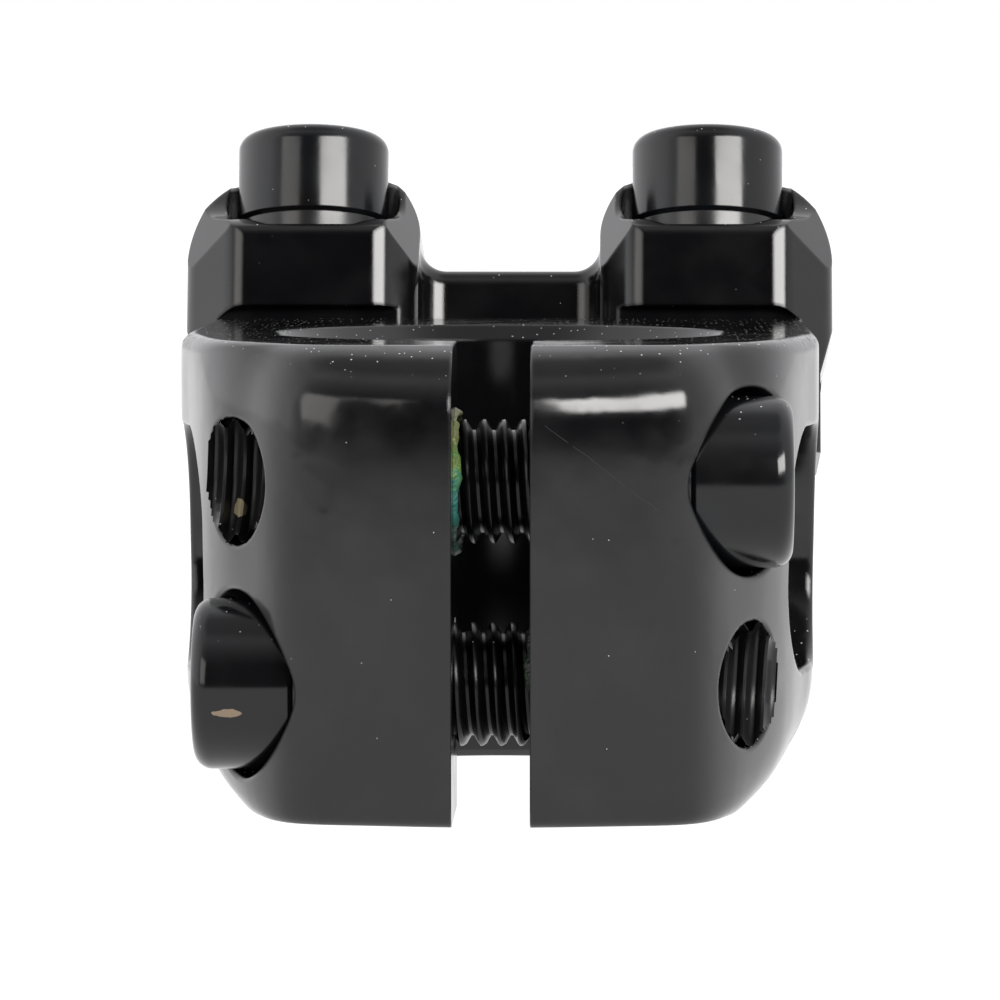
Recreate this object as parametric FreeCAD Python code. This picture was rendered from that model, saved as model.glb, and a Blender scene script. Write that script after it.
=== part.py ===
import FreeCAD, Part
import math
import os

# Top-load handlebar stem for a BMX bicycle.
# Frame: millimetres; +Z up along the steerer tube, +Y forward towards the handlebar, +X to the
# rider's right. The origin is the centre of the steerer bore at the bottom face of the clamp.

V = FreeCAD.Vector

# ---------------------------------------------------------------- driving dimensions
STEERER_D = 28.6            # threadless steerer tube, 1 1/8 inch
BAR_D = 22.2                # BMX handlebar at its clamp
REACH = 48.0                # steerer axis to bar axis
BAR_RISE = 15.0             # bar axis above the bottom face
LEAN_DEG = 13.0             # forward lean of the bar cap and its bolts

CLAMP_HEIGHT = 30.0
CLAMP_BACK = 27.0           # rear face behind the steerer axis
CLAMP_HALF_WIDTH = 21.35
CLAMP_DRAFT = 0.45          # the sides lean in by this much from DRAFT_TOP down to the foot
DRAFT_TOP = 25.0
REAR_CROWN = 0.3            # the rear face falls away by this much at its top and bottom edges
FOOT_ROUND_SIDE = 8.0       # rounding of the lower outer edges at the sides
FOOT_ROUND_REAR = 1.0       # and at the rear face
TOP_ROUND = 1.0
ROLL = {25.2: 0.0, 26.1: 0.06, 27.1: 0.33, 28.0: 0.82, 28.8: 1.53, 29.3: 2.2, 29.6: 2.8, 29.85: 3.6,
        30.0: 4.2}          # how far the rear face has rolled forward at each height
ROLL_END = -5.0             # the roll has faded out along the sides by here
REAR_TURN_DEG = 4.0         # how far the rear face has already turned where the slit cuts it
SLIT_W = 4.9
BORE_CHAMFER_TOP = 1.0
BORE_CHAMFER_FOOT = 0.5

# fasteners: M8 bolts with low round heads, over a thin washer each
THREAD_D = 7.9              # over the thread crests
THREAD_HOLE_D = 8.04
CLEARANCE_HOLE_D = 8.5
PINCH_BOLT_LENGTH = 25.0    # under the head
CAP_BOLT_LENGTH = 28.0
BOLT_TIP_CHAMFER = 1.0
HEAD_D = 10.9
HEAD_H = 6.5
HEAD_EDGE_ROUND = 1.15
SOCKET_AF = 6.0             # hex key size
SOCKET_DEPTH = 4.4
WASHER_OD = 10.3
WASHER_T = 1.1
WASHER_ID = 8.1

PINCH_BACK = 18.6           # pinch bolt axes behind the steerer axis
PINCH_BOLTS = {"upper": (21.2, 1), "lower": (8.3, -1)}  # height of the axis, side of the head
PINCH_SEAT = 12.5           # underside of a pinch bolt head, from the middle plane
PINCH_COUNTERBORE_D = 12.0

POCKET_LOW = 8.0            # side pockets
POCKET_HIGH = 24.0
POCKET_REAR = -12.0
POCKET_FRONT = 6.0
POCKET_FLOOR = 18.8
POCKET_ROUND = 6.5

SLIT_EDGE_ROUND = 0.12       # softened edges
BORE_EDGE_ROUND = 0.25
POCKET_EDGE_ROUND = 0.35

# handlebar cap and cradle, drawn in the leaning frame: x, w forwards and t up from the bar axis
CAP_BOLT_X = 14.35
CAP_BOLT_W = 17.5
CAP_BOLT_SEAT = 18.1        # underside of a cap bolt head
CAP_HALF_WIDTH = 23.35
CAP_FOOT_HALF_WIDTH = 22.4
CAP_TAPER_TOP = 10.0        # the sides draw in from here ...
CAP_TAPER_LOW = 6.5         # ... down to here
CAP_HALF_DEPTH = 23.4
CAP_SPLIT = 0.75            # half of the gap between cap and cradle
LOBE_INNER = 6.55
LOBE_FACET_OUTER = 3.6
LOBE_FACET_INNER = 2.5
LOBE_TOP = 23.0
LOBE_ROUND_OUTER = 8.0
LOBE_ROUND_INNER = 5.7
LOBE_FALL = [(12.2, 23.0), (14.5, 22.3), (16.5, 20.7), (18.2, 19.0), (20.5, 17.9), (22.3, 17.4),
             (23.1, 16.9), (23.4, 15.9)]  # how the crest falls off, fore and aft, past the bolt seats
LOBE_CORNER_DROP = 3.0      # the corners at its ends slope down by this much
FACET_EDGE_ROUND = 2.2
SPOT_FACE_R = 6.3
BRIDGE_TOP = 15.05
BRIDGE_HALF_DEPTH = 16.6
BRIDGE_CORNER_ROUND = 1.9
BRIDGE_EDGE_ROUND = 1.2
RELIEF_TOP = 11.0           # below this the cap's rear is cut back to clear the clamp block
RELIEF_DEPTH = 1.2
RELIEF_HALF_WIDTH = 21.8
RELIEF_ROUND = 3.0
CRADLE_HALF_WIDTH = 21.8
CRADLE_FACET = 3.4
CRADLE_FOOT_ROUND = 9.0
CRADLE_WALL_BACK = 23.2     # step wall behind the bar axis
BAR_WALL = 3.6              # metal under the bar
GROOVE_HALF = 8.0           # cross groove under the bar, between the rows of bosses

BAR_R = BAR_D / 2
STEERER_R = STEERER_D / 2
SEAT_LEVEL = CAP_BOLT_SEAT - WASHER_T  # the cap's own face under a cap bolt's washer
BAR_AXIS = V(0, REACH, BAR_RISE)
TILT = FreeCAD.Placement(BAR_AXIS, FreeCAD.Rotation(V(1, 0, 0), -LEAN_DEG))
ACROSS = V(1, 0, 0)
UP = V(0, 0, 1)
SIDES = {"left": -1, "right": 1}
ROWS = {"rear": -1, "front": 1}
FAR = 100.0                 # longer than any part of the stem
DECK_Y = 31.6               # the clamp block runs this far forward, into the cradle


# ---------------------------------------------------------------- helpers
def box(x0, x1, y0, y1, z0, z1):
    return Part.makeBox(x1 - x0, y1 - y0, z1 - z0, V(x0, y0, z0))


def rod(radius, start, along, length):
    return Part.makeCylinder(radius, length, start, along)


def tilted(shape):
    """Place a shape drawn in the leaning frame, where the bar axis is X and the bolts run along Z."""
    moved = shape.copy()
    moved.Placement = TILT.multiply(moved.Placement)
    return moved


def prism(points, along):
    """Extrude a closed polygon along a vector."""
    return Part.Face(Part.makePolygon(points + [points[0]])).extrude(along)


def is_along(edge, direction):
    """True for a straight edge parallel to a direction."""
    if edge.Curve.TypeId != "Part::GeomLine":
        return False
    return abs(abs(edge.Curve.Direction.dot(direction)) - 1) < 1e-6


def near(value, target):
    return abs(value - target) < 0.01


def edges_where(shape, test):
    """The edges whose every sampled point passes a test."""
    return [e for e in shape.Edges if all(test(p) for p in e.discretize(5))]


# ---------------------------------------------------------------- clamp block
def side_width(z):
    """Half-width of the block before its foot is rounded."""
    return CLAMP_HALF_WIDTH - CLAMP_DRAFT * max(0.0, 1 - z / DRAFT_TOP)


def arc_inset(z, radius, start):
    """How far an edge rounding of this radius has drawn the wall in at height z."""
    depth = radius - start - z
    if depth <= 0:
        return 0.0
    return radius - math.sqrt(radius * radius - depth * depth)


def foot_squeeze(x, z):
    """Draw the outline in at the foot, hardly at all near the rear and most at the sides."""
    squareness = 12
    inset = arc_inset(z, FOOT_ROUND_SIDE, 0.6)
    if inset < 0.001:
        return x
    ratio = side_width(z) / (side_width(z) - inset)
    limit = side_width(z) * (ratio ** squareness - 1) ** (-1 / squareness)
    return x * (1 + (x / limit) ** squareness) ** (-1 / squareness)


def clamp_outline(z):
    """Plan outline at height z: a slightly bowed rear face, round rear corners, sides that sweep out."""
    side = side_width(z)
    crown = REAR_CROWN * (2 * z / CLAMP_HEIGHT - 1) ** 2
    rear = -CLAMP_BACK + crown + arc_inset(z, FOOT_ROUND_REAR, 0.1)
    plan = [
        (2.0, rear + 0.06, 0.06),
        (8.5, rear + 0.95, 0.25),
        (12.7, rear + 2.2, 0.5),
        (14.3, rear + 4.1, 0.8),
        (15.5, rear + 6.3, 0.87),
        (side - 4.6, -PINCH_BACK, 0.9),
        (side - 2.15, -12.0, 0.97),
        (side - 0.8, ROLL_END, 1.0),
        (side, 4.0, 1.0),
    ]
    points = []
    for x, y, sideways in plan:
        share = max(0.0, (ROLL_END - y) / (ROLL_END + CLAMP_BACK)) ** 2
        inset = ROLL.get(z, 0.0) * share
        forwards = math.sqrt(1 - sideways * sideways)
        points.append(V(foot_squeeze(x, z) - inset * sideways, y + inset * forwards, z))
    curve = Part.BSplineCurve()
    turn = math.radians(REAR_TURN_DEG)
    curve.interpolate(points, InitialTangent=V(math.cos(turn), math.sin(turn), 0), FinalTangent=V(0, 1, 0))
    first, last = points[0], points[-1]
    edges = [curve.toShape(), curve.toShape().mirror(V(0, 0, 0), ACROSS)]
    edges.append(Part.makeLine(V(-first.x, first.y, z), first))
    edges.append(Part.makeLine(V(-last.x, DECK_Y, z), V(last.x, DECK_Y, z)))
    for side_x in (-last.x, last.x):
        edges.append(Part.makeLine(V(side_x, last.y, z), V(side_x, DECK_Y, z)))
    return Part.Wire(Part.__sortEdges__(edges))


def clamp_block():
    heights = [0, 0.4, 1.0, 2.0, 3.5, 5.5, 8, 11, 16, 21] + sorted(ROLL)
    block = Part.makeLoft([clamp_outline(z) for z in heights], True)
    rim = [e for e in block.Edges if near(e.BoundBox.ZMin, CLAMP_HEIGHT) and e.BoundBox.YMin < DECK_Y - 1]
    return block.makeFillet(TOP_ROUND, rim)


def side_pockets():
    """Rounded recesses milled square into both sides of the clamp block."""
    depth = CLAMP_HALF_WIDTH
    blank = box(POCKET_FLOOR, POCKET_FLOOR + depth, POCKET_REAR, POCKET_FRONT, POCKET_LOW, POCKET_HIGH)
    right = blank.makeFillet(POCKET_ROUND, [e for e in blank.Edges if is_along(e, ACROSS)])
    return [right, right.mirror(V(0, 0, 0), ACROSS)]


def pinch_bores():
    """Counterbore and clearance hole on the head's side, tapped hole through the other side."""
    cutters = []
    for height, head_side in PINCH_BOLTS.values():
        start = V(0, -PINCH_BACK, height)
        towards_head = V(head_side, 0, 0)
        seat = start + towards_head * (PINCH_SEAT - WASHER_T)
        cutters.append(rod(CLEARANCE_HOLE_D / 2, start, towards_head, FAR))
        cutters.append(rod(PINCH_COUNTERBORE_D / 2, seat, towards_head, FAR))
        cutters.append(rod(THREAD_HOLE_D / 2, start, -towards_head, FAR))
    return cutters


def steerer_bore():
    bore = rod(STEERER_R, V(0, 0, -1), UP, CLAMP_HEIGHT + 2)
    high, low = BORE_CHAMFER_TOP, BORE_CHAMFER_FOOT
    top = Part.makeCone(STEERER_R, STEERER_R + high, high, V(0, 0, CLAMP_HEIGHT - high), UP)
    foot = Part.makeCone(STEERER_R + low, STEERER_R, low, V(0, 0, 0), UP)
    return [bore, top, foot]


# ---------------------------------------------------------------- cradle
def cradle():
    """The half clamp under the bar, with a tapped boss at each corner."""
    half = CRADLE_HALF_WIDTH
    back = CRADLE_WALL_BACK
    front = CAP_HALF_DEPTH
    cut = CRADLE_FACET
    low = -FAR / 2
    outline = [
        (-half + cut, -back), (half - cut, -back), (half, -back + cut), (half, front - cut),
        (half - cut, front), (LOBE_INNER + LOBE_FACET_INNER, front), (LOBE_INNER, front - LOBE_FACET_INNER),
        (LOBE_INNER, BRIDGE_HALF_DEPTH), (-LOBE_INNER, BRIDGE_HALF_DEPTH),
        (-LOBE_INNER, front - LOBE_FACET_INNER), (-LOBE_INNER - LOBE_FACET_INNER, front),
        (-half + cut, front), (-half, front - cut), (-half, -back + cut),
    ]
    solid = prism([V(x, w, low) for x, w in outline], V(0, 0, -CAP_SPLIT - low))
    solid = solid.makeFillet(FACET_EDGE_ROUND, [
        e for e in solid.Edges if is_along(e, UP) and abs(e.BoundBox.Center.y) > BRIDGE_HALF_DEPTH + 1])
    groove_top = -BAR_R - BAR_WALL
    groove = box(-FAR, FAR, -GROOVE_HALF, GROOVE_HALF, low, groove_top)
    groove = groove.makeFillet(2.0, [e for e in groove.Edges if is_along(e, ACROSS) and
                                     near(e.BoundBox.ZMax, groove_top)])
    solid = tilted(solid.cut(groove))
    sleeve = box(-half, half, -FAR, FAR, 0, CLAMP_HEIGHT)
    sleeve = sleeve.makeFillet(CRADLE_FOOT_ROUND, [e for e in sleeve.Edges if is_along(e, V(0, 1, 0)) and
                                                   near(e.BoundBox.ZMax, 0)])
    return solid.common(sleeve)


def cap_bolt_places():
    """Node suffix and leaning-frame position of each cap bolt."""
    return {
        row + "_" + side: V(sx * CAP_BOLT_X, sw * CAP_BOLT_W, 0)
        for row, sw in ROWS.items()
        for side, sx in SIDES.items()
    }


def boss_bores():
    """Tapped holes for the cap bolts, drilled right through, with a small lead-in."""
    radius = THREAD_HOLE_D / 2
    lead = 0.6
    cutters = []
    for place in cap_bolt_places().values():
        mouth = place + UP * -CAP_SPLIT
        cutters.append(rod(radius, place, -UP, FAR))
        cutters.append(Part.makeCone(radius, radius + lead, lead, mouth - UP * lead, UP))
    return [tilted(cutter) for cutter in cutters]


def bar_bore():
    bore = rod(BAR_R, V(-FAR / 2, 0, 0), ACROSS, FAR)
    return tilted(bore)


def deburr(solid):
    """Soften the edges that are cut into the painted outside of the body."""
    cheek = SLIT_W / 2

    def slit_corner(p):
        return near(abs(p.x), cheek) and p.y < -STEERER_R - 0.1 and p.z > 1.0

    slit_rims = [e for e in edges_where(solid, slit_corner)
                 if e.BoundBox.ZLength < 1.5 and near(e.BoundBox.ZMax, CLAMP_HEIGHT)]
    solid = solid.makeFillet(SLIT_EDGE_ROUND, slit_rims)
    for height, _ in PINCH_BOLTS.values():
        for radius in (PINCH_COUNTERBORE_D / 2, THREAD_HOLE_D / 2):
            def on_bore(p):
                return near(math.hypot(p.y + PINCH_BACK, p.z - height), radius)
            rims = [e for e in edges_where(solid, on_bore)
                    if not is_along(e, ACROSS) and e.BoundBox.XLength > 0.5]
            solid = solid.makeFillet(BORE_EDGE_ROUND, rims)

    def in_pocket(p):
        inside_z = POCKET_LOW - 0.01 <= p.z <= POCKET_HIGH + 0.01
        inside_y = POCKET_REAR - 0.01 <= p.y <= POCKET_FRONT + 0.01
        return inside_z and inside_y and abs(p.x) > POCKET_FLOOR + 0.2

    lips = [e for e in edges_where(solid, in_pocket) if not is_along(e, ACROSS)]
    return solid.makeFillet(POCKET_EDGE_ROUND, lips)


# ---------------------------------------------------------------- pieces
def stem_body():
    room_for_cap = box(-FAR, FAR, -CRADLE_WALL_BACK, FAR, -CAP_SPLIT, FAR)
    solid = clamp_block().cut(tilted(room_for_cap)).fuse(cradle())
    solid = solid.cut(side_pockets())
    solid = solid.cut(boss_bores() + [bar_bore()])
    solid = solid.cut(pinch_bores())
    slit = box(-SLIT_W / 2, SLIT_W / 2, -FAR, 0, -1, CLAMP_HEIGHT + 1)
    return deburr(solid.cut(steerer_bore() + [slit]))


def lobe_outline(sign):
    """Plan outline of one lobe with its corners cut back."""
    inner, outer, deep = LOBE_INNER, CAP_HALF_WIDTH, CAP_HALF_DEPTH
    a, b = LOBE_FACET_INNER, LOBE_FACET_OUTER
    corners = [
        (inner + a, -deep), (outer - b, -deep), (outer, -deep + b), (outer, deep - b),
        (outer - b, deep), (inner + a, deep), (inner, deep - a), (inner, -deep + a),
    ]
    return [V(sign * x, w, 0) for x, w in corners]


def corner_slope(sign, end, x, cut, steepness):
    """What is cut off one corner of a lobe, above a plane that falls along the corner's facet."""
    side = math.copysign(1, x - (LOBE_INNER + CAP_HALF_WIDTH) / 2)
    high = V(sign * (x - side * cut), end * CAP_HALF_DEPTH, SEAT_LEVEL)
    low = V(sign * x, end * (CAP_HALF_DEPTH - cut), SEAT_LEVEL - LOBE_CORNER_DROP)
    inward = V(-sign * side, -end, 0).normalize()
    up_the_slope = (inward + UP * steepness).normalize()
    along = (low - high).normalize()
    corner = high - along * 10 - up_the_slope * 10
    across_patch = along * 30
    up_patch = up_the_slope * 30
    patch = [corner, corner + across_patch, corner + across_patch + up_patch, corner + up_patch]
    return prism(patch, (UP - inward) * 20)


def fall_off():
    """The space under the crest line, across the whole cap."""
    points = [V(-FAR, w, t) for w, t in LOBE_FALL]
    curve = Part.BSplineCurve()
    curve.interpolate(points, InitialTangent=V(0, 1, 0), FinalTangent=V(0, 0, -1))
    first, last = points[0], points[-1]
    mirrored = curve.toShape().mirror(V(0, 0, 0), V(0, 1, 0))
    corners = [last, V(-FAR, last.y, -1), V(-FAR, -last.y, -1), V(-FAR, -last.y, last.z)]
    edges = [curve.toShape(), mirrored, Part.makeLine(V(-FAR, -first.y, first.z), first)]
    edges += [Part.makeLine(a, b) for a, b in zip(corners, corners[1:])]
    return Part.Face(Part.Wire(Part.__sortEdges__(edges))).extrude(ACROSS * 2 * FAR)


def lobe(sign):
    """One rounded ridge from the rear bolt to the front bolt."""
    plan = prism(lobe_outline(sign), UP * LOBE_TOP)
    plan = plan.makeFillet(FACET_EDGE_ROUND, [e for e in plan.Edges if is_along(e, UP)])
    inner, outer = sorted((sign * LOBE_INNER, sign * CAP_HALF_WIDTH))
    arch = box(inner, outer, -FAR, FAR, -1, LOBE_TOP)
    for x, radius in ((sign * LOBE_INNER, LOBE_ROUND_INNER), (sign * CAP_HALF_WIDTH, LOBE_ROUND_OUTER)):
        edge = [e for e in arch.Edges if is_along(e, V(0, 1, 0)) and near(e.BoundBox.ZMax, LOBE_TOP)
                and near(e.BoundBox.Center.x, x)]
        arch = arch.makeFillet(radius, edge)
    solid = plan.common(arch).common(fall_off())
    for end in (-1, 1):
        solid = solid.cut([corner_slope(sign, end, CAP_HALF_WIDTH, LOBE_FACET_OUTER, 2.6),
                           corner_slope(sign, end, LOBE_INNER, LOBE_FACET_INNER, 2.2)])
    return solid


def bar_cap():
    low_x = CAP_FOOT_HALF_WIDTH
    bridge = box(-LOBE_INNER - 1, LOBE_INNER + 1, -BRIDGE_HALF_DEPTH, BRIDGE_HALF_DEPTH, 0, BRIDGE_TOP)
    crest = [e for e in bridge.Edges if is_along(e, ACROSS) and near(e.BoundBox.ZMin, BRIDGE_TOP)]
    solid = lobe(-1).fuse([lobe(1), bridge.makeFillet(BRIDGE_EDGE_ROUND, crest)]).removeSplitter()
    for sign in SIDES.values():
        root = [e for e in solid.Edges if near(e.BoundBox.XMin, sign * LOBE_INNER)
                and near(e.BoundBox.XMax, sign * LOBE_INNER) and e.BoundBox.ZMax < BRIDGE_TOP + 0.01
                and e.BoundBox.YMin > -BRIDGE_HALF_DEPTH - 0.01 and e.BoundBox.YMax < BRIDGE_HALF_DEPTH + 0.01
                and e.BoundBox.ZMax > 0.01]
        solid = solid.makeFillet(BRIDGE_CORNER_ROUND, root)
    solid = solid.cut(box(-FAR, FAR, -FAR, FAR, -FAR, CAP_SPLIT))
    for sign in SIDES.values():
        flank = [V(sign * x, -FAR, t) for x, t in (
            (CAP_HALF_WIDTH, CAP_TAPER_TOP), (low_x, CAP_TAPER_LOW), (low_x, -1), (FAR, -1), (FAR, CAP_TAPER_TOP))]
        solid = solid.cut(prism(flank, V(0, 2 * FAR, 0)))
    relief = box(-RELIEF_HALF_WIDTH, RELIEF_HALF_WIDTH, -FAR, -CAP_HALF_DEPTH + RELIEF_DEPTH, -1, RELIEF_TOP)
    shoulders = [e for e in relief.Edges if is_along(e, V(0, 1, 0)) and near(e.BoundBox.ZMax, RELIEF_TOP)]
    solid = solid.cut(relief.makeFillet(RELIEF_ROUND, shoulders))
    for place in cap_bolt_places().values():
        seat = place + UP * SEAT_LEVEL
        solid = solid.cut([rod(CLEARANCE_HOLE_D / 2, place, UP, FAR), rod(SPOT_FACE_R, seat, UP, FAR)])
    solid = tilted(solid).cut(bar_bore())
    return solid


def bolt(length):
    """A bolt standing on its tip's side of the origin: the head's underside is at z = 0."""
    head = rod(HEAD_D / 2, V(0, 0, 0), UP, HEAD_H)
    top_rim = [e for e in head.Edges if near(e.BoundBox.ZMin, HEAD_H)]
    head = head.makeFillet(HEAD_EDGE_ROUND, top_rim)
    shank = rod(THREAD_D / 2, V(0, 0, -length), UP, length)
    tip_rim = [e for e in shank.Edges if near(e.BoundBox.ZMax, -length)]
    shank = shank.makeChamfer(BOLT_TIP_CHAMFER, tip_rim)
    corner = SOCKET_AF / math.sqrt(3)
    angles = [math.radians(60 * k) for k in range(6)]
    floor = HEAD_H - SOCKET_DEPTH
    hexagon = [V(corner * math.cos(a), corner * math.sin(a), floor) for a in angles]
    return head.fuse(shank).cut(prism(hexagon, UP * (SOCKET_DEPTH + 1))).removeSplitter()


def washer():
    """A washer whose top face is at z = 0."""
    ring = rod(WASHER_OD / 2, V(0, 0, -WASHER_T), UP, WASHER_T)
    return ring.cut(rod(WASHER_ID / 2, V(0, 0, -WASHER_T - 1), UP, WASHER_T + 2))


def placed(shape, origin, along):
    """Turn a fastener's +Z to a direction and move its head's underside to a point."""
    moved = shape.copy()
    moved.Placement = FreeCAD.Placement(origin, FreeCAD.Rotation(UP, along))
    return moved


def fasteners():
    pieces = {}
    for name, place in cap_bolt_places().items():
        seat = place + UP * CAP_BOLT_SEAT
        pieces["cap_bolt_" + name] = tilted(placed(bolt(CAP_BOLT_LENGTH), seat, UP))
        pieces["cap_washer_" + name] = tilted(placed(washer(), seat, UP))
    for name, (height, head_side) in PINCH_BOLTS.items():
        seat = V(head_side * PINCH_SEAT, -PINCH_BACK, height)
        outward = V(head_side, 0, 0)
        pieces["pinch_bolt_" + name] = placed(bolt(PINCH_BOLT_LENGTH), seat, outward)
        pieces["pinch_washer_" + name] = placed(washer(), seat, outward)
    return pieces


# ---------------------------------------------------------------- write
os.makedirs("parts", exist_ok=True)
nodes = {"stem_body": stem_body(), "bar_cap": bar_cap()}
nodes.update(fasteners())
for node, shape in nodes.items():
    box_of = shape.BoundBox
    print(node, "solids", len(shape.Solids), "valid", shape.isValid(), "cm3", round(shape.Volume / 1000, 2),
          "z", round(box_of.ZMin, 2), round(box_of.ZMax, 2), "y", round(box_of.YMin, 2), round(box_of.YMax, 2))
    shape.exportStep("parts/" + node + ".step")
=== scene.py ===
import math

import bmesh
import bpy
from mathutils import Matrix, Vector
from mathutils.bvhtree import BVHTree


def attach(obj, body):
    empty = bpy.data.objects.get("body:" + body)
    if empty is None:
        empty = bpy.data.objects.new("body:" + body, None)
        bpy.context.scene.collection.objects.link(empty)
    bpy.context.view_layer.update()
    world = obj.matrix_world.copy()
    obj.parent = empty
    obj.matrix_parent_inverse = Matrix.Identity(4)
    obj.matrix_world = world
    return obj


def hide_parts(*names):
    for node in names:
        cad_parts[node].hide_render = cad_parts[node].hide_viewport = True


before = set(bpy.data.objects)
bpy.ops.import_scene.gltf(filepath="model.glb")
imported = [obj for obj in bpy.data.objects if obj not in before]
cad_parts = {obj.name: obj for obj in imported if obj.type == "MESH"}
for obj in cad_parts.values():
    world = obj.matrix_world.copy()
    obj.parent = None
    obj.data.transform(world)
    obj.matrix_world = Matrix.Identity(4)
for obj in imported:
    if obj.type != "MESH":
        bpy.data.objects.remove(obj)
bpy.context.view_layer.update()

# Looks of a top-load BMX handlebar stem. Metres, in the CAD frame: +Z up the steerer, +Y forward, +X right.

MM = 0.001

# ---------------------------------------------------------------- sizes that repeat the CAD's
LEAN = math.radians(13.0)
BAR_AXIS = Vector((0, 48, 15)) * MM
PITCH = 1.25 * MM
THREAD_CREST = 3.95 * MM
THREAD_ROOT = 3.28 * MM
HEAD_R = 5.45 * MM
HEAD_H = 6.5 * MM
SOCKET_AF = 6.0 * MM
SOCKET_DEPTH = 4.4 * MM
TIP_CHAMFER = 1.0 * MM
PINCH_LENGTH = 25.0 * MM
CAP_LENGTH = 28.0 * MM
PINCH = {"upper": (21.2, 1), "lower": (8.3, -1)}
PINCH_BACK = 18.6
PINCH_SEAT = 12.5
CAP_BOLT_X, CAP_BOLT_W, CAP_BOLT_SEAT = 14.35, 17.5, 18.1
SLIT_W = 4.9
HEAD_EDGE_ROUND = 1.15 * MM
HEAD_UNDER_CHAMFER = 0.3 * MM
SOCKET_MOUTH_CHAMFER = 0.22 * MM
HOLE_THREAD_FROM, HOLE_THREAD_TO = 12.6 * MM, 21.0 * MM     # from the middle of the slit
HOLE_CREST, HOLE_ROOT = 4.0 * MM, 3.42 * MM
HOLE_WALL_TEST = 4.35 * MM     # a radius that lies in the metal wherever the hole is still closed
MERGE_DISTANCE = 0.002 * MM
SHARP_ANGLE = math.radians(38)


def leaning(x, w, t):
    """A point in the cap's leaning frame, given in millimetres."""
    c, s = math.cos(LEAN), math.sin(LEAN)
    return BAR_AXIS + Vector((x, c * w + s * t, -s * w + c * t)) * MM


# ---------------------------------------------------------------- camera
def aim(obj, target):
    obj.rotation_mode = "QUATERNION"
    obj.rotation_quaternion = (Vector(target) - obj.location).to_track_quat("-Z", "Y")


camera = bpy.data.objects.new("camera", bpy.data.cameras.new("camera"))
bpy.context.scene.collection.objects.link(camera)
camera.location = Vector((8.22, -377.6, 43.6)) * MM
aim(camera, Vector((0.02, 0, 18.8)) * MM)
camera.data.lens = 203.9
camera.data.sensor_width = 36
camera.data.clip_start = 0.01
camera.data.clip_end = 20
bpy.context.scene.camera = camera
bpy.context.scene.view_settings.view_transform = "Standard"


# ---------------------------------------------------------------- room and light
# A Mix node's sockets share their names, so they are picked by place: first for colours, then for numbers.
MIX_A, MIX_B, MIX_COLOUR_OUT = 6, 7, 2
MIX_NUMBER_A, MIX_NUMBER_B, MIX_NUMBER_OUT = 2, 3, 0
FLOOR_RADIUS = 6.0


def mesh_object(name, bm, material=None, smooth=True):
    mesh = bpy.data.meshes.new(name)
    bm.to_mesh(mesh)
    bm.free()
    if smooth:
        for face in mesh.polygons:
            face.use_smooth = True
    obj = bpy.data.objects.new(name, mesh)
    bpy.context.scene.collection.objects.link(obj)
    if material:
        mesh.materials.append(material)
    return obj


def softbox(name, azimuth, elevation, width, height, distance, strength, colour):
    """An area light in a direction seen from the stem, with its size in degrees.

    Azimuth 0 is behind the camera and 90 is on the right.
    """
    data = bpy.data.lights.new(name, "AREA")
    data.shape = "RECTANGLE"
    data.size = 2 * distance * math.tan(math.radians(width / 2))
    data.size_y = 2 * distance * math.tan(math.radians(height / 2))
    area = data.size * data.size_y
    data.energy = strength * area * math.pi
    data.color = colour
    lamp = bpy.data.objects.new(name, data)
    bpy.context.scene.collection.objects.link(lamp)
    a, e = math.radians(azimuth), math.radians(elevation)
    centre = Vector((0, 0, 0.02))
    towards = Vector((math.sin(a) * math.cos(e), -math.cos(a) * math.cos(e), math.sin(e)))
    lamp.location = centre + distance * towards
    aim(lamp, centre)
    return lamp


softbox("softbox_right", azimuth=37, elevation=25, width=40, height=20, distance=1.6,
        strength=16.0, colour=(1.0, 0.99, 0.97))
softbox("softbox_left", azimuth=-37, elevation=18, width=28, height=30, distance=1.6,
        strength=2.6, colour=(1.0, 0.97, 0.93))


def ramp(nodes, links, value, stops, interpolation="LINEAR"):
    node = nodes.new("ShaderNodeValToRGB")
    node.color_ramp.interpolation = interpolation
    elements = node.color_ramp.elements
    while len(elements) < len(stops):
        elements.new(0.5)
    for element, (position, colour) in zip(elements, stops):
        element.position = position
        element.color = (*colour, 1)
    links.new(value, node.inputs["Fac"])
    return node


def floor_material():
    """A pale sheet lit from within, so that it stays white to the horizon."""
    mat = bpy.data.materials.new("pale_floor")
    mat.use_nodes = True
    nodes, links = mat.node_tree.nodes, mat.node_tree.links
    bsdf = nodes["Principled BSDF"]
    bsdf.inputs["Base Color"].default_value = (0.16, 0.16, 0.16, 1)
    bsdf.inputs["Roughness"].default_value = 0.9
    bsdf.inputs["Specular IOR Level"].default_value = 0.0
    bsdf.inputs["Emission Strength"].default_value = 1.0
    coords = nodes.new("ShaderNodeTexCoord")
    split = nodes.new("ShaderNodeSeparateXYZ")
    reach = nodes.new("ShaderNodeMapRange")     # the glow dies away behind the camera
    reach.inputs["From Min"].default_value = -1.1
    reach.inputs["From Max"].default_value = -0.25
    links.new(coords.outputs["Object"], split.inputs["Vector"])
    links.new(split.outputs["Y"], reach.inputs["Value"])
    glow = ramp(nodes, links, reach.outputs["Result"], [
        (0.0, (0.05, 0.05, 0.05)), (1.0, (1.0, 1.0, 1.0))], "EASE")
    links.new(glow.outputs["Color"], bsdf.inputs["Emission Color"])
    return mat


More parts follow.
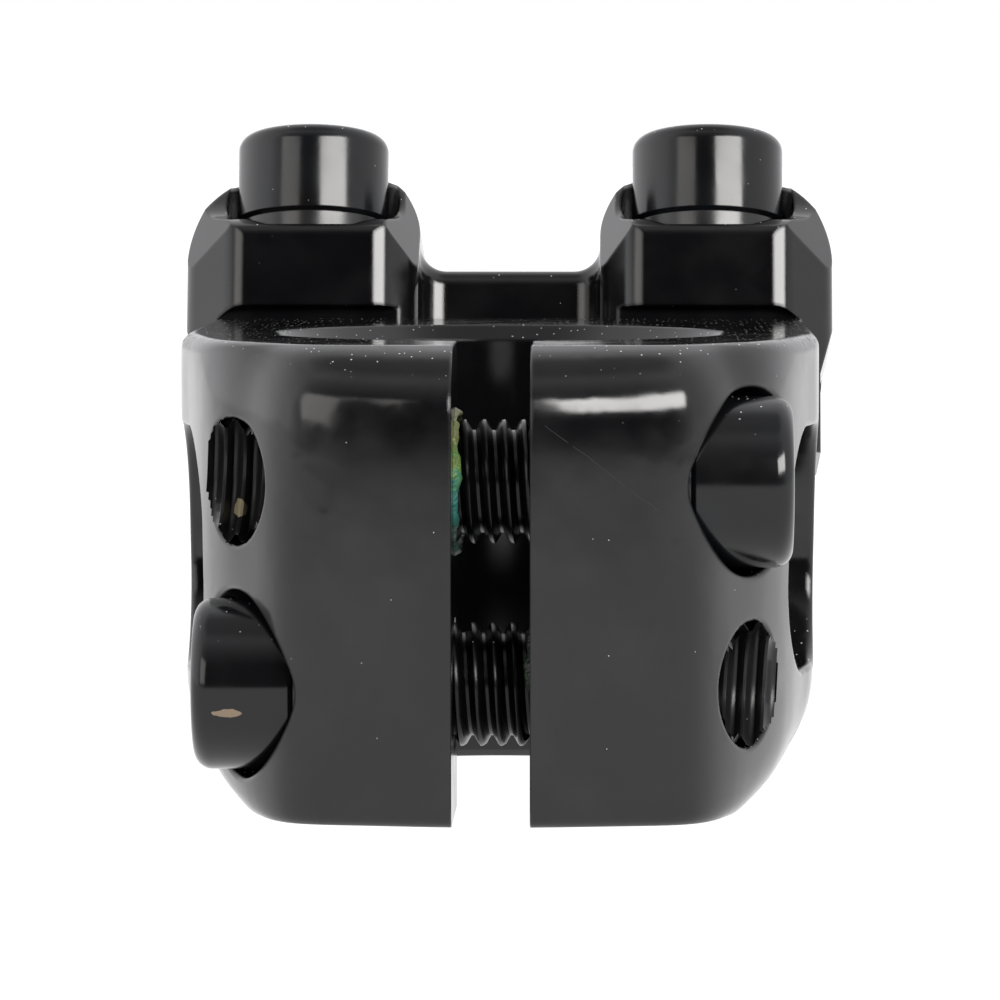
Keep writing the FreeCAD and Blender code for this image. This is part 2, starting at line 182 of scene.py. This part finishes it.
def white_room():
    """White all round and brightest on the left, with a dark side behind the camera and a dim ceiling."""
    world = bpy.data.worlds.new("room")
    bpy.context.scene.world = world
    world.use_nodes = True
    nodes, links = world.node_tree.nodes, world.node_tree.links
    nodes.clear()
    out = nodes.new("ShaderNodeOutputWorld")
    back = nodes.new("ShaderNodeBackground")
    links.new(back.outputs["Background"], out.inputs["Surface"])
    coords = nodes.new("ShaderNodeTexCoord")
    split = nodes.new("ShaderNodeSeparateXYZ")
    links.new(coords.outputs["Generated"], split.inputs["Vector"])
    round_about = nodes.new("ShaderNodeMapRange")
    round_about.inputs["From Min"].default_value = -0.85
    round_about.inputs["From Max"].default_value = -0.30
    links.new(split.outputs["Y"], round_about.inputs["Value"])
    walls = nodes.new("ShaderNodeMix")
    walls.data_type = "RGBA"
    walls.inputs[MIX_A].default_value = (0.02, 0.02, 0.022, 1)
    walls.inputs[MIX_B].default_value = (1.0, 1.0, 1.02, 1)
    links.new(round_about.outputs["Result"], walls.inputs["Factor"])
    across = nodes.new("ShaderNodeMapRange")
    across.inputs["From Min"].default_value = -0.95
    across.inputs["From Max"].default_value = -0.55
    across.inputs["To Min"].default_value = 1.7
    links.new(split.outputs["X"], across.inputs["Value"])
    links.new(across.outputs["Result"], back.inputs["Strength"])
    up = nodes.new("ShaderNodeMapRange")
    up.inputs["From Min"].default_value = 0.88
    up.inputs["From Max"].default_value = 0.97
    links.new(split.outputs["Z"], up.inputs["Value"])
    ceiling = nodes.new("ShaderNodeMix")
    ceiling.data_type = "RGBA"
    ceiling.inputs[MIX_B].default_value = (0.45, 0.45, 0.46, 1)
    links.new(up.outputs["Result"], ceiling.inputs["Factor"])
    links.new(walls.outputs[MIX_COLOUR_OUT], ceiling.inputs[MIX_A])
    links.new(ceiling.outputs[MIX_COLOUR_OUT], back.inputs["Color"])


bm = bmesh.new()
bmesh.ops.create_circle(bm, cap_ends=True, radius=FLOOR_RADIUS, segments=96)
floor = mesh_object("floor", bm, floor_material(), smooth=False)
white_room()


# ---------------------------------------------------------------- shader helpers
class Graph:
    """A thin wrapper that adds shader nodes and joins them up."""

    def __init__(self, tree):
        self.tree = tree

    def add(self, kind, **inputs):
        node = self.tree.nodes.new(kind)
        for key, value in inputs.items():
            self.feed(node.inputs[key.replace("_", " ")], value)
        return node

    def feed(self, socket, value):
        if isinstance(value, bpy.types.NodeSocket):
            self.tree.links.new(value, socket)
        else:
            socket.default_value = value

    def math(self, operation, a, b=None):
        node = self.tree.nodes.new("ShaderNodeMath")
        node.operation = operation
        self.feed(node.inputs[0], a)
        if b is not None:
            self.feed(node.inputs[1], b)
        return node.outputs["Value"]

    def vector(self, operation, a, b=None):
        node = self.tree.nodes.new("ShaderNodeVectorMath")
        node.operation = operation
        self.feed(node.inputs[0], a)
        if b is not None:
            self.feed(node.inputs[1], b)
        return node.outputs["Value" if operation in ("DOT_PRODUCT", "LENGTH") else "Vector"]

    def spread(self, value, low, high, to_low=0.0, to_high=1.0):
        node = self.add("ShaderNodeMapRange", Value=value, From_Min=low, From_Max=high,
                        To_Min=to_low, To_Max=to_high)
        return node.outputs["Result"]

    def noise(self, coords, scale, detail=3.0):
        return self.add("ShaderNodeTexNoise", Vector=coords, Scale=scale, Detail=detail).outputs["Fac"]

    def blend(self, mask, under, over):
        """Mix two colours by a mask."""
        node = self.tree.nodes.new("ShaderNodeMix")
        node.data_type = "RGBA"
        self.feed(node.inputs["Factor"], mask)
        self.feed(node.inputs[MIX_A], under)
        self.feed(node.inputs[MIX_B], over)
        return node.outputs[MIX_COLOUR_OUT]

    def slide(self, mask, under, over):
        """Mix two numbers by a mask."""
        node = self.tree.nodes.new("ShaderNodeMix")
        node.data_type = "FLOAT"
        self.feed(node.inputs["Factor"], mask)
        self.feed(node.inputs[MIX_NUMBER_A], under)
        self.feed(node.inputs[MIX_NUMBER_B], over)
        return node.outputs[MIX_NUMBER_OUT]


def specks(g, coords, spacing, radius, share):
    """White dots: one in each cell of a loose grid, in a share of the cells."""
    cells = g.add("ShaderNodeTexVoronoi", Vector=coords, Scale=1 / spacing)
    dot = g.math("LESS_THAN", cells.outputs["Distance"], radius)
    split = g.add("ShaderNodeSeparateColor", Color=cells.outputs["Color"])
    chosen = g.math("LESS_THAN", split.outputs["Red"], share)
    return g.math("MULTIPLY", dot, chosen)


def patch(g, coords, centre, radii, raggedness):
    """A ragged blob around a point, in millimetres."""
    offset = g.vector("SUBTRACT", coords, Vector(centre) * MM)
    scaled = g.vector("MULTIPLY", offset, [1 / (r * MM) for r in radii])
    away = g.vector("LENGTH", scaled)
    ragged = g.math("MULTIPLY", g.noise(coords, 1500.0), raggedness)
    return g.math("LESS_THAN", g.math("ADD", away, ragged), 1 + raggedness / 2)


def scratch(g, coords, start, end, width):
    """A hairline between two points of the rear face, in millimetres across and up."""
    start, end = Vector((start[0], 0, start[1])) * MM, Vector((end[0], 0, end[1])) * MM
    run = end - start
    unit = run.normalized()
    offset = g.vector("SUBTRACT", coords, start)
    along = g.vector("DOT_PRODUCT", offset, unit)
    across = g.vector("DOT_PRODUCT", offset, Vector((-unit.z, 0, unit.x)))
    wobble = g.math("MULTIPLY", g.math("SUBTRACT", g.noise(coords, 400.0), 0.5), 0.35 * MM)
    line = g.math("LESS_THAN", g.math("ABSOLUTE", g.math("ADD", across, wobble)), width * MM)
    inside = g.math("MULTIPLY", g.math("GREATER_THAN", along, 0.0), g.math("LESS_THAN", along, run.length))
    broken = g.math("GREATER_THAN", g.noise(coords, 900.0), 0.42)
    return g.math("MULTIPLY", g.math("MULTIPLY", line, inside), broken)


DUST = (0.5, 0.5, 0.48, 1)
DUST_ROUGHNESS = 0.9


def black_finish(name, colour, roughness, dust_on_top, tint, marks=(), peel=0.012, bevel=0.35,
                 specular=0.5):
    """Gloss black with dust, faint blotches and marks. Each mark is (mask function, colour, roughness).

    dust_on_top is the share of dusty cells on faces that look up, peel the depth of the paint's fine
    waviness, and bevel the radius in millimetres that the edges are softened to.
    """
    mat = bpy.data.materials.new(name)
    mat.use_nodes = True
    g = Graph(mat.node_tree)
    bsdf = mat.node_tree.nodes["Principled BSDF"]
    bsdf.inputs["Specular IOR Level"].default_value = specular
    coords = g.add("ShaderNodeTexCoord").outputs["Object"]
    up = g.add("ShaderNodeSeparateXYZ", Vector=g.add("ShaderNodeNewGeometry").outputs["Normal"]).outputs["Z"]
    facing_up = g.spread(up, 0.55, 0.9)

    blotch = g.spread(g.noise(coords, 180.0, 5.0), 0.45, 0.75)
    base = g.blend(blotch, (*colour, 1), (*tint, 1))
    rough = g.spread(g.noise(coords, 320.0, 4.0), 0.35, 0.75, roughness, roughness * 1.7)

    dense = g.math("MULTIPLY", specks(g, coords, 0.42 * MM, 0.14, dust_on_top), facing_up)
    sparse = specks(g, coords, 0.9 * MM, 0.035, 0.18)
    dust = g.math("MAXIMUM", dense, sparse)
    base = g.blend(dust, base, DUST)
    rough = g.slide(dust, rough, DUST_ROUGHNESS)
    for mask_of, mark_colour, mark_rough in marks:
        mask = mask_of(g, coords)
        base = g.blend(mask, base, (*mark_colour, 1))
        rough = g.slide(mask, rough, mark_rough)

    soft = g.add("ShaderNodeBevel", Radius=bevel * MM)
    bump = g.add("ShaderNodeBump", Strength=peel, Distance=0.1 * MM, Height=g.noise(coords, 1100.0, 2.0),
                 Normal=soft.outputs["Normal"])
    g.feed(bsdf.inputs["Base Color"], base)
    g.feed(bsdf.inputs["Roughness"], rough)
    g.feed(bsdf.inputs["Normal"], bump.outputs["Normal"])
    return mat


# ---------------------------------------------------------------- bolts
AROUND = 48
THREAD_PHASES = (
    (0.0, 1.0), (0.12, 1.0), (0.2, 0.8), (0.32, 0.4), (0.44, 0.0), (0.6, 0.0), (0.72, 0.4), (0.84, 0.8))


def thread_shell(bm, low, high, crest, root, limit):
    """A right-hand helical thread about the Z axis, with its ends cut square."""
    per_turn = len(THREAD_PHASES)
    rows = (int((high - low) / PITCH) + 3) * per_turn
    columns = []
    for step in range(AROUND + 1):
        angle = 2 * math.pi * step / AROUND
        column = []
        for row in range(rows):
            turn, place = divmod(row, per_turn)
            phase, height = THREAD_PHASES[place]
            z = low + PITCH * (turn + phase + step / AROUND - 1)
            z = min(max(z, low), high)
            radius = limit(root + (crest - root) * height, z)
            column.append(bm.verts.new((radius * math.cos(angle), radius * math.sin(angle), z)))
        columns.append(column)
    for left, right in zip(columns, columns[1:]):
        for row in range(rows - 1):
            bm.faces.new((left[row], right[row], right[row + 1], left[row + 1]))


def loop_of(bm, radius_at, z):
    """A closed loop of points about the Z axis, at a radius that may change with the angle."""
    points = []
    for step in range(AROUND):
        angle = 2 * math.pi * step / AROUND
        r = radius_at(angle)
        points.append(bm.verts.new((r * math.cos(angle), r * math.sin(angle), z)))
    return points


def ring(bm, radius, z):
    return loop_of(bm, lambda angle: radius, z)


def hexagon(bm, half_width, z):
    return loop_of(bm, lambda angle: half_width / math.cos(angle % (math.pi / 3) - math.pi / 6), z)


def skin(bm, loops):
    """Join a run of loops with faces."""
    for low, high in zip(loops, loops[1:]):
        for step in range(AROUND):
            after = (step + 1) % AROUND
            bm.faces.new((low[step], low[after], high[after], high[step]))


def bolt_head(bm):
    """A low round head with a hexagon socket, its underside at z = 0."""
    edge = HEAD_EDGE_ROUND
    loops = [ring(bm, THREAD_ROOT, 0), ring(bm, HEAD_R - HEAD_UNDER_CHAMFER, 0),
             ring(bm, HEAD_R, HEAD_UNDER_CHAMFER)]
    for step in range(9):
        turn = math.pi / 2 * step / 8
        loops.append(ring(bm, HEAD_R - edge + edge * math.cos(turn), HEAD_H - edge + edge * math.sin(turn)))
    half = SOCKET_AF / 2
    corner = half / math.cos(math.pi / 6)
    bottom = HEAD_H - SOCKET_DEPTH
    loops.append(ring(bm, corner + 0.25 * MM, HEAD_H))
    loops.append(hexagon(bm, half, HEAD_H - SOCKET_MOUTH_CHAMFER))
    loops.append(hexagon(bm, half, bottom))
    loops.append(ring(bm, half * 0.86, bottom - 0.25 * MM))
    loops.append(ring(bm, 0.2 * MM, bottom - 0.9 * MM))
    skin(bm, loops)
    bm.faces.new(loops[-1])


def tip_limit(length):
    """Keep the thread inside the chamfer at the bolt's tip."""
    def limit(radius, z):
        return min(radius, THREAD_CREST - TIP_CHAMFER + (z + length))
    return limit


def bolt(name, length, origin, turned, material, shank_material):
    """A threaded bolt in place of the plain CAD one, with a duller finish below the head."""
    bm = bmesh.new()
    thread_shell(bm, -length, 0.3 * MM, THREAD_CREST, THREAD_ROOT, tip_limit(length))
    bm.faces.new(reversed(ring(bm, THREAD_CREST - TIP_CHAMFER, -length)))
    bolt_head(bm)
    bmesh.ops.remove_doubles(bm, verts=bm.verts, dist=MERGE_DISTANCE)
    bmesh.ops.dissolve_degenerate(bm, edges=bm.edges, dist=0.001 * MM)
    bmesh.ops.recalc_face_normals(bm, faces=bm.faces)
    for face in bm.faces:
        face.material_index = 1 if face.calc_center_median().z < 0 else 0
    bm.transform(Matrix.Translation(origin) @ turned.to_matrix().to_4x4())
    obj = mesh_object("threaded_" + name, bm, material)
    obj.data.materials.append(shank_material)
    obj.data.set_sharp_from_angle(angle=SHARP_ANGLE)
    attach(obj, name)
    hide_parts(name)
    return obj


# ---------------------------------------------------------------- thread in the empty ends of the pinch holes
def is_inside(tree, point):
    """Whether a point lies in the metal: an odd number of walls stand between it and the outside."""
    direction = Vector((0.21, 0.53, 0.82)).normalized()
    crossings = 0
    start = point.copy()
    while crossings < 50:
        hit = tree.ray_cast(start, direction)[0]
        if hit is None:
            break
        crossings += 1
        start = hit + direction * 0.001 * MM
    return crossings % 2 == 1


def hole_thread(name, height, side, material):
    """Thread of a tapped pinch hole beyond the bolt's tip, out to where the hole breaks through the side."""
    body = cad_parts["stem_body"]
    corners = [body.matrix_world @ v.co for v in body.data.vertices]
    tree = BVHTree.FromPolygons(corners, [tuple(p.vertices) for p in body.data.polygons])
    bm = bmesh.new()
    thread_shell(bm, HOLE_THREAD_FROM, HOLE_THREAD_TO, HOLE_CREST, HOLE_ROOT, lambda radius, z: radius)
    turned = Vector((0, 0, 1)).rotation_difference(Vector((side, 0, 0)))
    axis = Vector((0, -PINCH_BACK, height)) * MM
    bmesh.ops.remove_doubles(bm, verts=bm.verts, dist=MERGE_DISTANCE)
    bm.transform(Matrix.Translation(axis) @ turned.to_matrix().to_4x4())
    outside = []
    for face in bm.faces:
        centre = face.calc_center_median()
        spoke = Vector((0, centre.y - axis.y, centre.z - axis.z)).normalized()
        behind = Vector((centre.x, axis.y, axis.z)) + spoke * HOLE_WALL_TEST
        if not is_inside(tree, behind):
            outside.append(face)
    bmesh.ops.delete(bm, geom=outside, context="FACES")
    obj = mesh_object(name, bm, material)
    obj.data.set_sharp_from_angle(angle=SHARP_ANGLE)
    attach(obj, "stem_body")
    return obj


# ---------------------------------------------------------------- assembly grease
def grease_material():
    mat = bpy.data.materials.new("grease")
    mat.use_nodes = True
    g = Graph(mat.node_tree)
    bsdf = mat.node_tree.nodes["Principled BSDF"]
    coords = g.add("ShaderNodeTexCoord").outputs["Object"]
    height = g.add("ShaderNodeSeparateXYZ", Vector=coords).outputs["Z"]
    wavy = g.math("ADD", height, g.math("MULTIPLY", g.noise(coords, 1500.0), 7.0 * MM))
    # The colour follows the height: near black low down, through green and teal to olive higher up.
    shade = ramp(mat.node_tree.nodes, mat.node_tree.links, g.spread(wavy, 19.5 * MM, 29.5 * MM), [
        (0.0, (0.01, 0.02, 0.01)), (0.25, (0.02, 0.07, 0.05)), (0.45, (0.02, 0.12, 0.11)),
        (0.62, (0.05, 0.14, 0.03)), (0.8, (0.10, 0.13, 0.03)), (1.0, (0.14, 0.14, 0.06))])
    g.feed(bsdf.inputs["Base Color"], shade.outputs["Color"])
    bsdf.inputs["Roughness"].default_value = 0.35
    bump = g.add("ShaderNodeBump", Strength=0.8, Distance=0.3 * MM, Height=g.noise(coords, 2600.0))
    g.feed(bsdf.inputs["Normal"], bump.outputs["Normal"])
    return mat


GREASE_INNER_R = 4.03
GREASE_THICKNESS = 0.5


def grease_collar(name, height, wall, start_deg, end_deg, reach, material):
    """A lumpy collar of grease on a slit wall, around the bolt that passes through it, in millimetres."""
    bm = bmesh.new()
    steps, across = 60, 8
    full = end_deg - start_deg >= 360
    loops = []
    for step in range(steps if full else steps + 1):
        angle = math.radians(start_deg + (end_deg - start_deg) * step / steps)
        lump = 0.7 + 0.25 * math.sin(3 * angle + 1) + 0.2 * math.sin(8 * angle) + 0.12 * math.sin(19 * angle)
        fade = 1.0 if full else math.sin(math.pi * step / steps)
        loop = []
        for place in range(across + 1):
            share = place / across
            radius = GREASE_INNER_R + reach * lump * share
            thick = GREASE_THICKNESS * lump * fade * math.sin(math.pi * min(0.999, share + 0.02)) + 0.01
            x = wall + (thick if wall < 0 else -thick)
            y = -PINCH_BACK - radius * math.cos(angle)
            loop.append(bm.verts.new(Vector((x, y, height + radius * math.sin(angle))) * MM))
        loops.append(loop)
    pairs = list(zip(loops, loops[1:])) + ([(loops[-1], loops[0])] if full else [])
    for here, after in pairs:
        for place in range(across):
            bm.faces.new((here[place], after[place], after[place + 1], here[place + 1]))
    bmesh.ops.recalc_face_normals(bm, faces=bm.faces)
    obj = mesh_object(name, bm, material)
    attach(obj, "stem_body")
    return obj


# ---------------------------------------------------------------- finishes
PAINT = (0.0022, 0.0022, 0.0026)
STEEL = (0.003, 0.003, 0.0034)


def ear_scratch(g, coords):
    line = scratch(g, coords, (3.4, 25.2), (10.5, 19.8), 0.014)
    behind = g.add("ShaderNodeSeparateXYZ", Vector=coords).outputs["Y"]
    return g.math("MULTIPLY", line, g.math("LESS_THAN", behind, -15 * MM))


def paint_chip(g, coords):
    return patch(g, coords, (-16.7, -23.9, 6.9), (0.95, 1.2, 0.26), 1.0)


# A pale tan patch on the lower front of the upper pinch hole's open thread.
def hole_thread_tan_patch(g, coords):
    return patch(g, coords, (-16.3, -15.5, 19.3), (0.45, 1.5, 0.6), 0.8)


paint = black_finish("body_gloss", PAINT, 0.10, 0.42, (0.0065, 0.0065, 0.0070),
                     [(ear_scratch, (0.010, 0.010, 0.010), 0.3)])
cap_paint = black_finish("cap_gloss", PAINT, 0.085, 0.25, (0.0060, 0.0060, 0.0065))
steel = black_finish("bolt_gloss", STEEL, 0.13, 0.34, (0.004, 0.0046, 0.006),
                     peel=0.03, bevel=0.1, specular=0.40)
chipped_steel = black_finish("chipped_bolt_gloss", STEEL, 0.11, 0.30, (0.004, 0.0046, 0.006),
                             [(paint_chip, (0.16, 0.12, 0.08), 0.6)], peel=0.03, bevel=0.1, specular=0.40)
shank = black_finish("thread_gloss", (0.0015, 0.0015, 0.0017), 0.2, 0.2, (0.003, 0.003, 0.003),
                     bevel=0.03, specular=0.28)
washer_steel = black_finish("washer_gloss", (0.010, 0.010, 0.011), 0.2, 0.2, (0.015, 0.015, 0.015), bevel=0.1)
thread_steel = black_finish("thread_oxide", (0.007, 0.007, 0.008), 0.26, 0.3, (0.014, 0.013, 0.012),
                            [(hole_thread_tan_patch, (0.25, 0.21, 0.13), 0.5)], bevel=0.05, specular=0.35)
grease = grease_material()

for name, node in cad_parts.items():
    node.data.materials.clear()
    if name == "stem_body":
        node.data.materials.append(paint)
    elif name == "bar_cap":
        node.data.materials.append(cap_paint)
    elif "washer" in name:
        node.data.materials.append(washer_steel)
    else:
        node.data.materials.append(steel)

upright = Vector((0, 0, 1))
lean_turn = upright.rotation_difference(leaning(0, 0, 1) - leaning(0, 0, 0))
for row, w in (("rear", -CAP_BOLT_W), ("front", CAP_BOLT_W)):
    for side, x in (("left", -CAP_BOLT_X), ("right", CAP_BOLT_X)):
        seat = leaning(x, w, CAP_BOLT_SEAT)
        bolt("cap_bolt_%s_%s" % (row, side), CAP_LENGTH, seat, lean_turn, steel, shank)
for name, (height, side) in PINCH.items():
    outward = Vector((side, 0, 0))
    origin = Vector((side * PINCH_SEAT, -PINCH_BACK, height)) * MM
    finish = chipped_steel if name == "lower" else steel
    bolt("pinch_bolt_" + name, PINCH_LENGTH, origin, upright.rotation_difference(outward), finish, shank)
    hole_thread("hole_thread_" + name, height, -side, thread_steel)
grease_collar("grease_collar_upper", PINCH["upper"][0], -SLIT_W / 2, 0, 360, 0.75, grease)
grease_collar("grease_collar_lower", PINCH["lower"][0], SLIT_W / 2, -10, 70, 0.5, grease)
